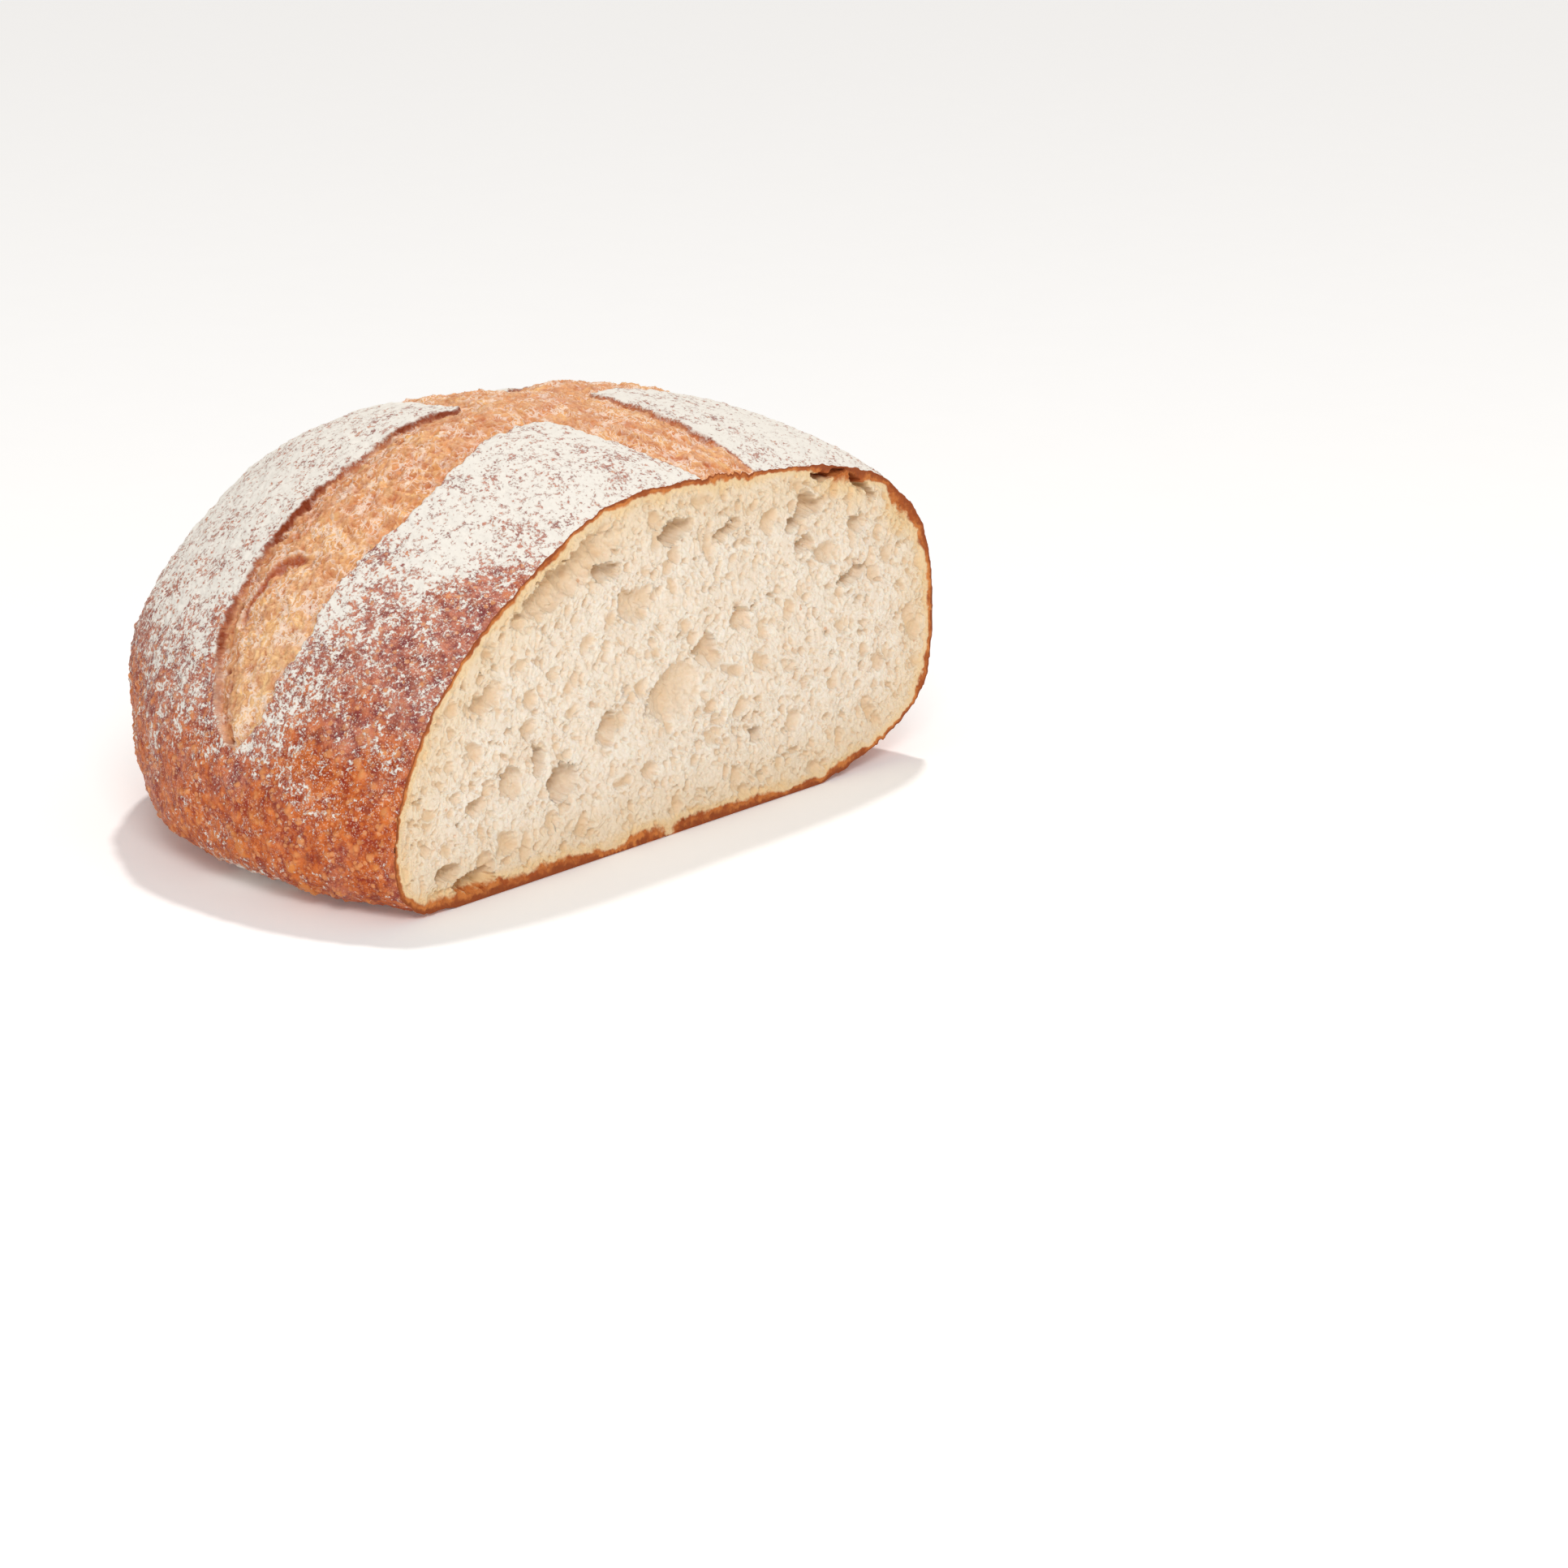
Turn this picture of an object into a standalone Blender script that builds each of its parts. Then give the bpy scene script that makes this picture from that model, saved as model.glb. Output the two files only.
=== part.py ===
"""Sourdough loaf with a cross of two slashes, standing on its base, its front cut off flat."""
import math

import bmesh
import bpy
from mathutils import Vector, noise

# Overall sizes, in metres. The cut face lies across X and looks along -Y.
LOAF_LENGTH = 0.1700        # cut face to the far end
CUT_HEIGHT = 0.1046         # top of the cut face above the underside
SECTION_AXIS = 0.0006       # where the left and right halves of the section meet
LEFT_WIDTH = 0.1087         # half width of the cut face, left
RIGHT_WIDTH = 0.1272        # half width of the cut face, right
LEFT_EQUATOR = 0.0264       # height of the widest point, left
RIGHT_EQUATOR = 0.0469      # height of the widest point, right
END_EQUATOR = 0.0521        # height of the point where the far end closes
BASE_TRIM = 0.0022          # how much the underside has settled flat

# Roundness of the four quarters of the section (2 is an ellipse, more is boxier)
LEFT_TOP_ROUND = 1.69
RIGHT_TOP_ROUND = 2.90
LEFT_BASE_ROUND = 5.1
RIGHT_BASE_ROUND = 3.0
QUARTER_BLEND = 0.6         # share of the half width over which the quarters blend

# Where along Y each profile is fullest, and how round it is from there on
LEFT_WIDEST, LEFT_PLAN_ROUND = 0.0454, 1.95
RIGHT_WIDEST, RIGHT_PLAN_ROUND = 0.0367, 2.40
TALLEST, CROWN_ROUND = 0.0571, 1.92
BASE_START, BASE_END_ROUND = 0.0367, 2.8

# The long slash runs over the loaf in X. Its place along itself is the turn about an axis
# low in the loaf, in degrees from the top, and it ends at the same turn on both sides.
SLASH_AXIS_X, SLASH_AXIS_Z = 0.005, 0.020
LONG_SLASH_TURN = 79.0
LONG_SLASH_WAIST, LONG_SLASH_BELLY = 0.0115, 0.0070     # half width at the top, and added beyond
LONG_SLASH_Y, LONG_SLASH_BOW = 0.0570, 0.0055
LONG_SLASH_SHIFT, LONG_SLASH_BACK_SHIFT = 0.013, 0.014
BOW_TURN, BOW_SPREAD = 55.0, 22.0
BEYOND_TIP = 0.12           # how fast a slash's gap opens past its tip

# The other runs along Y, over the top and out through the cut face
CROSSING_Y = 0.062
CUT_SLASH_X, CUT_SLASH_LEAN = 0.029, -0.17
CUT_SLASH_HALF_WIDTH = 0.0235
CUT_SLASH_FRONT_REACH, CUT_SLASH_BACK_REACH = 0.110, 0.088

SLASH_DEPTH = 0.0024        # drop from the skin to the edge of the opened crust
SLASH_SWELL = 0.0022        # how far the opened crust has swollen back up
LIP_HEIGHT = 0.0015         # raised lip along the far edge of each slash
LIP_WIDTH = 0.0100
EDGE_SOFT = 0.0060          # run of the step from skin to slash
CORNER_ROUND = 0.005        # rounding of the four flaps' tips at the crossing
LUMP_HEIGHT = 0.0009        # gentle unevenness of the baked skin
LUMP_SIZE = 0.034

SEGMENTS = 92
RINGS = 54

OBJECT_COLLECTION = "sourdough_loaf"
CUTTER_COLLECTION = "sourdough_loaf_cutters"


def clear_scene():
    for old in list(bpy.data.objects):
        bpy.data.objects.remove(old, do_unlink=True)


def make_collection(name, hidden=False):
    found = bpy.data.collections.get(name) or bpy.data.collections.new(name)
    if found.name not in bpy.context.scene.collection.children:
        bpy.context.scene.collection.children.link(found)
    found.hide_render = hidden
    return found


def make_material(name, color, roughness):
    material = bpy.data.materials.new(name)
    material.use_nodes = True
    shader = material.node_tree.nodes["Principled BSDF"]
    shader.inputs["Base Color"].default_value = (*color, 1.0)
    shader.inputs["Roughness"].default_value = roughness
    material.diffuse_color = (*color, 1.0)
    return material


def smooth(value, start, end):
    t = min(max((value - start) / (end - start), 0.0), 1.0)
    return t * t * (3.0 - 2.0 * t)


def profile(y, fullest, roundness):
    """Superellipse profile along Y, 1 at the cut face and 0 at the far end."""
    reach = LOAF_LENGTH - fullest

    def raw(at):
        return max(1.0 - (abs(at - fullest) / reach) ** roundness, 0.0) ** (1.0 / roundness)

    return raw(y) / raw(0.0)


def signed_power(value, exponent):
    return math.copysign(abs(value) ** exponent, value)


def mix(first, second, share):
    return first + (second - first) * share


def section_point(angle, y):
    """Point of the crust at one angle of the section, at the distance y behind the cut."""
    cosine, sine = math.cos(angle), math.sin(angle)
    side = smooth(cosine, -QUARTER_BLEND, QUARTER_BLEND)
    share = (y / LOAF_LENGTH) ** 1.5
    width = mix(LEFT_WIDTH, RIGHT_WIDTH, side)
    equator = mix(mix(LEFT_EQUATOR, RIGHT_EQUATOR, side), END_EQUATOR, share)
    plan = mix(profile(y, LEFT_WIDEST, LEFT_PLAN_ROUND),
               profile(y, RIGHT_WIDEST, RIGHT_PLAN_ROUND), side)
    if sine >= 0.0:
        roundness = mix(LEFT_TOP_ROUND, RIGHT_TOP_ROUND, side)
    else:
        roundness = mix(LEFT_BASE_ROUND, RIGHT_BASE_ROUND, side)
    x = SECTION_AXIS + width * plan * signed_power(cosine, 2.0 / roundness)
    rise = abs(sine) ** (2.0 / roundness)
    if sine >= 0.0:
        mean_equator = (LEFT_EQUATOR + RIGHT_EQUATOR) / 2.0
        crown = mix(mean_equator, END_EQUATOR, share)
        crown += (CUT_HEIGHT - mean_equator) * profile(y, TALLEST, CROWN_ROUND)
        z = equator + (crown - equator) * rise
    else:
        behind = max(y - BASE_START, 0.0) / (LOAF_LENGTH - BASE_START)
        belly = max(1.0 - behind ** BASE_END_ROUND, 0.0) ** (1.0 / BASE_END_ROUND)
        z = equator - equator * belly * rise
    return Vector((x, y, z))


def long_slash_gap(point):
    """Distance outside the long slash's edge, below zero inside it, and its signed side."""
    turn = math.degrees(math.atan2(SLASH_AXIS_X - point.x, point.z - SLASH_AXIS_Z))
    along = abs(turn) / LONG_SLASH_TURN
    bow = math.exp(-((turn - BOW_TURN) / BOW_SPREAD) ** 2) - 0.5 * smooth(turn, 68.0, 80.0)
    centre = LONG_SLASH_Y + LONG_SLASH_BOW * bow + LONG_SLASH_SHIFT * smooth(-turn, -10.0, 15.0)
    centre += LONG_SLASH_BACK_SHIFT * smooth(-turn, 8.0, 28.0)
    belly = math.sin(math.pi * min(along, 1.0) ** 1.27)
    taper = math.sqrt(max(1.0 - along ** 8, 0.0))
    half_width = (LONG_SLASH_WAIST + LONG_SLASH_BELLY * belly) * taper
    half_width -= max(along - 1.0, 0.0) * BEYOND_TIP
    return abs(point.y - centre) - half_width, point.y - centre


def cut_slash_gap(point):
    """The same for the slash that runs out through the cut face."""
    reach = CUT_SLASH_FRONT_REACH if point.y < CROSSING_Y else CUT_SLASH_BACK_REACH
    along = abs(point.y - CROSSING_Y) / reach
    half_width = CUT_SLASH_HALF_WIDTH * (1.0 - 1.05 * along ** 1.35)
    centre = CUT_SLASH_X + CUT_SLASH_LEAN * point.y
    low = 1.0 - smooth(point.z, 0.050, 0.070)
    return abs(point.x - centre) - half_width + 0.05 * low, point.x - centre


def crust_relief(point):
    """How far the crust stands out from the plain body, along its own normal."""
    long_gap, long_side = long_slash_gap(point)
    cut_gap, cut_side = cut_slash_gap(point)
    near = max(CORNER_ROUND - abs(long_gap - cut_gap), 0.0) / CORNER_ROUND
    gap = min(long_gap, cut_gap) - near * near * CORNER_ROUND / 4.0
    inside = 1.0 - smooth(gap, -EDGE_SOFT / 2.0, EDGE_SOFT / 2.0)
    swell = smooth(-gap, 0.0, 0.015) * SLASH_SWELL
    side = long_side if long_gap < cut_gap else cut_side
    lip = math.exp(-((gap - 0.3 * LIP_WIDTH) / (0.5 * LIP_WIDTH)) ** 2)
    lip *= LIP_HEIGHT * (1.0 if side > 0.0 else 0.3)
    lumps = noise.noise(point / LUMP_SIZE) * LUMP_HEIGHT
    return inside * (swell - SLASH_DEPTH) + (1.0 - inside) * lip + lumps


def ring_station(ring):
    """Distance behind the cut face of one ring of the body, closer set at the far end."""
    share = (ring - 1) / (RINGS - 1)
    even = share
    eased = math.sin(share * math.pi / 2.0)
    return LOAF_LENGTH * (0.25 * even + 0.75 * eased)


def section_angle(turn):
    """Turn 0..1 around the section, with fewer points under the base than over the top."""
    over = 0.68
    if turn < over:
        return math.pi * turn / over
    return math.pi * (1.0 + (turn - over) / (1.0 - over))


def make_loaf(collection):
    body = bmesh.new()
    bmesh.ops.create_uvsphere(body, u_segments=SEGMENTS, v_segments=RINGS, radius=1.0)
    rim = []
    hub = None
    for vert in body.verts:
        ring = round(math.acos(max(-1.0, min(1.0, vert.co.z))) / math.pi * RINGS)
        turn = (math.atan2(vert.co.y, vert.co.x) / (2.0 * math.pi)) % 1.0
        if ring == 0:
            hub = vert
            vert.co = Vector((0.0, 0.0, CUT_HEIGHT * 0.48))
        elif ring == RINGS:
            vert.co = Vector((SECTION_AXIS, LOAF_LENGTH, END_EQUATOR))
        else:
            vert.co = section_point(section_angle(turn), ring_station(ring))
            if ring == 1:
                rim.append(vert)
    bmesh.ops.recalc_face_normals(body, faces=body.faces)
    if body.calc_volume(signed=True) < 0.0:
        bmesh.ops.reverse_faces(body, faces=body.faces)
    body.normal_update()

    offsets = {}
    for vert in body.verts:
        if vert is hub:
            continue
        normal = vert.normal.copy()
        if vert in rim:
            normal.y = 0.0
            normal.normalize()
        offsets[vert] = normal * crust_relief(vert.co)
    for vert, offset in offsets.items():
        vert.co += offset
    for vert in body.verts:
        vert.co.z = max(vert.co.z - BASE_TRIM, 0.0)

    low = Vector([min(vert.co[axis] for vert in body.verts) for axis in range(3)])
    high = Vector([max(vert.co[axis] for vert in body.verts) for axis in range(3)])
    middle = (low + high) / 2.0
    bmesh.ops.translate(body, verts=body.verts, vec=(-middle.x, -middle.y, -low.z))
    print("loaf offset", [round(value * 1000.0, 4) for value in (middle.x, middle.y, low.z)])
    print("loaf size", [round(value * 1000.0, 2) for value in high - low])

    mesh = bpy.data.meshes.new("loaf")
    body.to_mesh(mesh)
    body.free()
    loaf = bpy.data.objects.new("loaf", mesh)
    loaf.data.materials.append(make_material("baked_crust", (0.50, 0.25, 0.11), 0.75))
    collection.objects.link(loaf)
    return loaf


def main():
    clear_scene()
    objects = make_collection(OBJECT_COLLECTION)
    make_collection(CUTTER_COLLECTION, hidden=True)
    make_loaf(objects)


main()
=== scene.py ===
import math

import bpy
import numpy as np
from mathutils import Matrix, Vector


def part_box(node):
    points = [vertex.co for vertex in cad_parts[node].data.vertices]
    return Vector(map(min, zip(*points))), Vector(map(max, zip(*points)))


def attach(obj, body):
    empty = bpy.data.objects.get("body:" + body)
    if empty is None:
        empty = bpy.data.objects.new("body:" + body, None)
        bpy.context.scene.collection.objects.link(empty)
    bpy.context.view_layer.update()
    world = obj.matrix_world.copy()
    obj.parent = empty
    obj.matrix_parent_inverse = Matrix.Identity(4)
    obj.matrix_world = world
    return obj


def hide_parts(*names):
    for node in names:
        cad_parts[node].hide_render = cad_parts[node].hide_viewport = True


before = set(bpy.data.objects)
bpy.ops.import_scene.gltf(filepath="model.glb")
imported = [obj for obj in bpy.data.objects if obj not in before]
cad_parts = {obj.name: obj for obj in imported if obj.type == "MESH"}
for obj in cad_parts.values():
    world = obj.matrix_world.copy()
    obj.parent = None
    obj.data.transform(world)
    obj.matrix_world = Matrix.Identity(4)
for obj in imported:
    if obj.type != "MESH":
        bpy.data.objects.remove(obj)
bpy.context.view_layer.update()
loafBox = [np.array(corner, dtype=float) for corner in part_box("loaf")]

mm = 0.001

# the loaf's own axes: x along the cut face, y back from it, z up, all in mm while shaping
loaf = {
    "length": 170.0, "cutHeight": 104.6, "axisX": 0.6,
    "leftWidth": 108.7, "rightWidth": 127.2,
    "leftEquator": 26.4, "rightEquator": 46.9, "endEquator": 52.1,
    "leftTop": 1.69, "rightTop": 2.90, "leftBase": 5.1, "rightBase": 3.0,
    "blend": 0.6, "baseTrim": 2.2,
    "leftPlan": (45.4, 1.95), "rightPlan": (36.7, 2.40),
    "crown": (57.1, 1.92), "belly": (36.7, 2.8),
}
shiftX = -7.0 * mm                       # CAD centre of the box against the section's axis
shiftY = float(loafBox[0][1])            # the cut face


# cubic ease, 0 at low and 1 at high, flat beyond them
def smooth(value, low, high):
    t = np.clip((value - low) / (high - low), 0.0, 1.0)
    return t * t * (3.0 - 2.0 * t)


# straight blend, the first at share 0 and the second at 1
def mix(first, second, share):
    return first + (second - first) * share


dice = np.random.default_rng(4711)
noiseTable = dice.random((64, 64, 64))
jitterTable = dice.random((3, 64, 64, 64))
chanceTable = dice.random((64, 64, 64))


# smooth value noise 0..1: random corner values of a lattice, eased between the corners
def latticeNoise(points, size, seed):
    q = points / size + seed * 7.31
    cell = np.floor(q).astype(np.int64)
    f = q - cell
    f = f * f * f * (f * (f * 6.0 - 15.0) + 10.0)
    total = 0.0
    for dx in (0, 1):
        wx = f[..., 0] if dx else 1.0 - f[..., 0]
        for dy in (0, 1):
            wy = f[..., 1] if dy else 1.0 - f[..., 1]
            for dz in (0, 1):
                wz = f[..., 2] if dz else 1.0 - f[..., 2]
                corner = noiseTable[(cell[..., 0] + dx) & 63, (cell[..., 1] + dy) & 63,
                                    (cell[..., 2] + dz) & 63]
                total = total + wx * wy * wz * corner
    return total


# octaves of the noise above, each half as large and half as strong, centred on zero
def layeredNoise(points, size, seed, octaves=3):
    total = 0.0
    weight = 1.0
    for octave in range(octaves):
        total = total + weight * (latticeNoise(points, size, seed + 3 * octave) - 0.5)
        size = size * 0.5
        weight = weight * 0.55
    return total * 2.0


# distance to the nearest scattered centre, in cells, and that centre's own chance 0..1
def scatterCells(points, size, seed, flat=False):
    q = points / size + seed * 5.17
    cell = np.floor(q).astype(np.int64)
    best = np.full(q.shape[:-1], 9.0)
    chance = np.zeros(q.shape[:-1])
    for dx in (-1, 0, 1):
        for dy in ((0,) if flat else (-1, 0, 1)):
            for dz in (-1, 0, 1):
                ix, iy, iz = cell[..., 0] + dx, cell[..., 1] + dy, cell[..., 2] + dz
                at = (ix & 63, iy & 63, iz & 63)
                gap = (ix + jitterTable[0][at] - q[..., 0]) ** 2
                gap = gap + (iz + jitterTable[2][at] - q[..., 2]) ** 2
                if not flat:
                    gap = gap + (iy + jitterTable[1][at] - q[..., 1]) ** 2
                nearer = gap < best
                best = np.where(nearer, gap, best)
                chance = np.where(nearer, chanceTable[at], chance)
    return np.sqrt(best), chance


# superellipse along y, 1 at the cut and 0 at the far end
def alongProfile(y, fullest, roundness):
    reach = loaf["length"] - fullest
    value = np.maximum(1.0 - (np.abs(y - fullest) / reach) ** roundness, 0.0) ** (1.0 / roundness)
    start = (1.0 - (fullest / reach) ** roundness) ** (1.0 / roundness)
    return value / start


# section of four superellipse quarters that blend into each other, scaled by the profiles
def loafPoint(turn, y):
    cosine, sine = np.cos(turn), np.sin(turn)
    side = smooth(cosine, -loaf["blend"], loaf["blend"])
    share = (np.clip(y, 0.0, None) / loaf["length"]) ** 1.5
    width = mix(loaf["leftWidth"], loaf["rightWidth"], side)
    equator = mix(mix(loaf["leftEquator"], loaf["rightEquator"], side), loaf["endEquator"], share)
    plan = mix(alongProfile(y, *loaf["leftPlan"]), alongProfile(y, *loaf["rightPlan"]), side)
    top = sine >= 0.0
    roundness = np.where(top, mix(loaf["leftTop"], loaf["rightTop"], side),
                         mix(loaf["leftBase"], loaf["rightBase"], side))
    x = loaf["axisX"] + width * plan * np.sign(cosine) * np.abs(cosine) ** (2.0 / roundness)
    rise = np.abs(sine) ** (2.0 / roundness)
    meanEquator = (loaf["leftEquator"] + loaf["rightEquator"]) / 2.0
    crown = mix(meanEquator, loaf["endEquator"], share)
    crown = crown + (loaf["cutHeight"] - meanEquator) * alongProfile(y, *loaf["crown"])
    bellyStart, bellyRound = loaf["belly"]
    behind = np.clip((y - bellyStart) / (loaf["length"] - bellyStart), 0.0, 1.0)
    belly = (1.0 - behind ** bellyRound) ** (1.0 / bellyRound)
    z = np.where(top, equator + (crown - equator) * rise, equator - equator * belly * rise)
    return np.stack([x, y + 0.0 * x, z], -1)


# the slashes in mm and degrees: the long one by its turn about a low axis, then the one through
# the cut, then what both share
slashes = {
    "axisX": 5.0, "axisZ": 20.0, "endTurn": 79.0, "arm": 110.0,
    "waist": 11.5, "belly": 7.0, "bellyLean": 1.27, "tipSwell": 1.8, "tipSwellAt": (0.7, 0.92),
    "tipRound": 8, "beyondTip": 120.0,
    "y": 57.0, "bow": 5.5, "bowTurn": 55.0, "bowSpread": 22.0, "bowEnd": (68.0, 80.0),
    "shift": 13.0, "shiftTurn": (-10.0, 15.0), "backShift": 14.0, "backShiftTurn": (8.0, 28.0),
    "crossingY": 62.0, "cutX": 29.0, "lean": -0.17, "cutWidth": 23.5, "cutTaper": (1.05, 1.35),
    "cutLift": 50.0, "cutFoot": (50.0, 70.0), "frontReach": 110.0, "backReach": 88.0, "corner": 4.0,
    "depth": 2.3, "swell": 2.6, "swellRun": 13.0, "edge": 0.9, "lip": 0.35, "lipWidth": 1.5,
    "wander": 1.3, "wanderSize": 16.0, "fray": 0.7, "fraySize": 3.0,
}


# gap outside the nearer slash's edge (below zero inside), and where a point lies in it
def slashField(p):
    x, y, z = p[..., 0], p[..., 1], p[..., 2]
    s = slashes
    stray = layeredNoise(p, s["wanderSize"], 11) * s["wander"]
    stray = stray + layeredNoise(p, s["fraySize"], 12) * s["fray"]
    turn = np.degrees(np.arctan2(s["axisX"] - x, z - s["axisZ"]))
    along = np.abs(turn) / s["endTurn"]
    bow = np.exp(-((turn - s["bowTurn"]) / s["bowSpread"]) ** 2) - 0.5 * smooth(turn, *s["bowEnd"])
    centre = s["y"] + s["bow"] * bow + s["shift"] * smooth(-turn, *s["shiftTurn"])
    centre = centre + s["backShift"] * smooth(-turn, *s["backShiftTurn"])
    belly = np.sin(math.pi * np.minimum(along, 1.0) ** s["bellyLean"])
    taper = np.sqrt(np.maximum(1.0 - along ** s["tipRound"], 0.0))
    half = s["waist"] + s["belly"] * belly + s["tipSwell"] * smooth(along, *s["tipSwellAt"])
    half = half * taper - np.maximum(along - 1.0, 0.0) * s["beyondTip"]
    longGap = np.abs(y - centre) - half
    reach = np.where(y < s["crossingY"], s["frontReach"], s["backReach"])
    far = np.abs(y - s["crossingY"]) / reach
    taperShare, taperRound = s["cutTaper"]
    cutHalf = s["cutWidth"] * (1.0 - taperShare * far ** taperRound)
    cutCentre = s["cutX"] + s["lean"] * y
    cutGap = np.abs(x - cutCentre) - cutHalf + s["cutLift"] * (1.0 - smooth(z, *s["cutFoot"]))
    near = np.maximum(s["corner"] - np.abs(longGap - cutGap), 0.0) / s["corner"]
    gap = np.minimum(longGap, cutGap) - near * near * s["corner"] / 4.0 + stray
    isLong = longGap < cutGap
    far = np.where(isLong, y - centre, x - cutCentre) > 0.0
    return {"gap": gap, "isLong": isLong, "farSide": far, "turn": turn, "along": along,
            "across": np.where(isLong, (y - centre) / np.maximum(half, 1.0),
                               (x - cutCentre) / np.maximum(cutHalf, 1.0))}


# baked skin: heights and sizes of its relief in mm, radii in cells
skin = {
    "lump": 0.9, "lumpSize": 34.0, "roll": 0.5, "rollSize": 9.0, "grain": 0.30, "grainSize": 2.4,
    "blisterCell": 3.4, "blisterHeight": 0.60, "blisterRadius": (0.12, 0.32), "blisterRare": 0.62,
    "blisterRareLow": 0.30, "beadCell": 1.5, "beadHeight": 0.26, "beadRadius": (0.22, 0.2),
    "beadRare": 0.45, "flakeCell": 11.0, "flakeHeight": 0.5, "flakeRadius": 0.36, "flakeRare": 0.3,
}

# opened crust inside the slashes, in mm; strands are drawn out by the share that their run gets
opened = {
    "curl": 4.2, "curlSize": 8.0, "runShare": 0.34, "riseShare": 0.2,
    "strand": 1.25, "coarse": 2.3, "fine": 1.1, "wrinkle": 0.7, "wrinkleSize": 4.5,
    "poreAndShade": 1.3, "poreCell": 5.5, "poreRadius": 0.30, "poreShare": 0.42, "tearDepth": 1.2,
}

# crescent tear in the long slash: run around the loaf, y, half sizes along both, in mm
crescent = (111.4, 60.0, 16.0, 13.0)


# thin raised ridges where a noise crosses its middle value, 1 on the crest
def ridgedNoise(points, size, seed):
    return 1.0 - np.abs(2.0 * latticeNoise(points, size, seed) - 1.0)


# relief and masks inside the slashes: a floor that swells from its edges, strands drawn along
# the slash and curled by noise, whose crests also carry a painted highlight, pores on the far
# side that are painted dark as shade, and a crescent tear with a pale edge and painted shade
# just inside it
def openedRelief(p, field, inside):
    o = opened
    x, y, z = p[..., 0], p[..., 1], p[..., 2]
    run = np.where(field["isLong"], np.radians(field["turn"]) * slashes["arm"], y)
    over = np.where(field["isLong"], y, x)
    curl = np.stack([layeredNoise(p, o["curlSize"], seed) for seed in (21, 22, 23)], -1)
    strand = np.stack([run * o["runShare"], over, o["riseShare"] * z], -1) + curl * o["curl"]
    fibreAndHighlight = 0.55 * ridgedNoise(strand, o["coarse"], 9) ** 2 + 0.45 * ridgedNoise(strand, o["fine"], 10) ** 2
    wrinkle = layeredNoise(p + curl * 2.0, o["wrinkleSize"], 13, 3)
    farther = smooth(field["across"], 0.1, 0.8) * field["isLong"]
    distance, chance = scatterCells(p + curl, o["poreCell"], 24)
    # pores are sunk into the floor and painted dark as shade
    poreAndShade = smooth(o["poreRadius"] - distance, 0.0, 0.16) * (chance > 1.0 - o["poreShare"] * farther) * inside
    runAt, overAt, runHalf, overHalf = crescent
    ring = np.hypot((run - runAt) / runHalf, (y - overAt) / overHalf) + 0.07 * layeredNoise(p, 7.0, 14)
    zone = smooth(y, overAt - 4.0, overAt + 4.0) * smooth(runAt + 12.0 - run, 0.0, 8.0)
    zone = zone * field["isLong"] * inside
    tearAndShade = smooth(ring, 0.25, 0.97) * (1.0 - smooth(ring, 0.97, 1.02)) * zone
    tearEdge = np.exp(-((ring - 1.05) / 0.024) ** 2) * zone
    # band just inside the tear's edge where shade is painted
    paintedTearShade = smooth(ring, 0.76, 0.86) * (1.0 - smooth(ring, 0.97, 1.02)) * zone
    swell = smooth(-field["gap"], 0.0, slashes["swellRun"]) * slashes["swell"]
    nearCut = np.where(field["isLong"], 1.0, 0.25 + 0.75 * smooth(y, 3.0, 22.0))
    height = (swell - slashes["depth"]) * nearCut + fibreAndHighlight * o["strand"] - 0.4 + wrinkle * o["wrinkle"]
    height = height - poreAndShade * o["poreAndShade"] - tearAndShade * o["tearDepth"]
    return height, {"fibreAndHighlight": fibreAndHighlight * inside, "poreAndShade": poreAndShade, "tearAndShade": paintedTearShade, "tearEdge": tearEdge,
                    "run": run, "over": over}


# flour: the heights in mm over which it thickens, and how much each part of its cover counts
flourLayer = {
    "low": (24.0, 62.0), "crownNear": (54.0, 116.0), "crownBehind": (40.0, 96.0),
    "base": 0.26, "cover": 0.43, "bare": 0.16, "foot": 0.34, "drift": 0.07,
}


# how thickly the flour lies, 0..1: full on top and behind the long slash, thin lower down, and
# nearly bare in a patch by the cut, all drifting with noise
def flourDensity(p):
    f = flourLayer
    x, y, z = p[..., 0], p[..., 1], p[..., 2]
    height = z + layeredNoise(p, 24.0, 16, 2) * 14.0 + layeredNoise(p, 7.0, 17, 3) * 8.0
    behind = np.maximum(smooth(y, 62.0, 84.0), smooth(x, 0.0, 60.0))
    crownFrom, crownTo = [mix(near, back, behind) for near, back in zip(f["crownNear"], f["crownBehind"])]
    crown = smooth((height - crownFrom) / (crownTo - crownFrom), 0, 1)
    cover = 0.46 * smooth(height, *f["low"]) + 0.54 * crown
    bare = np.exp(-((y - 3.0) / 15.0) ** 2 - ((z - 82.0) / 16.0) ** 2) * (x < 0.0)
    foot = np.exp(-((y - 60.0) / 15.0) ** 2) * (1.0 - smooth(z, 5.0, 15.0)) * (x < 0.0)
    density = f["base"] + f["cover"] * cover - f["bare"] * bare + f["foot"] * foot
    return density + f["drift"] * layeredNoise(p, 13.0, 18, 2)
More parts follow.
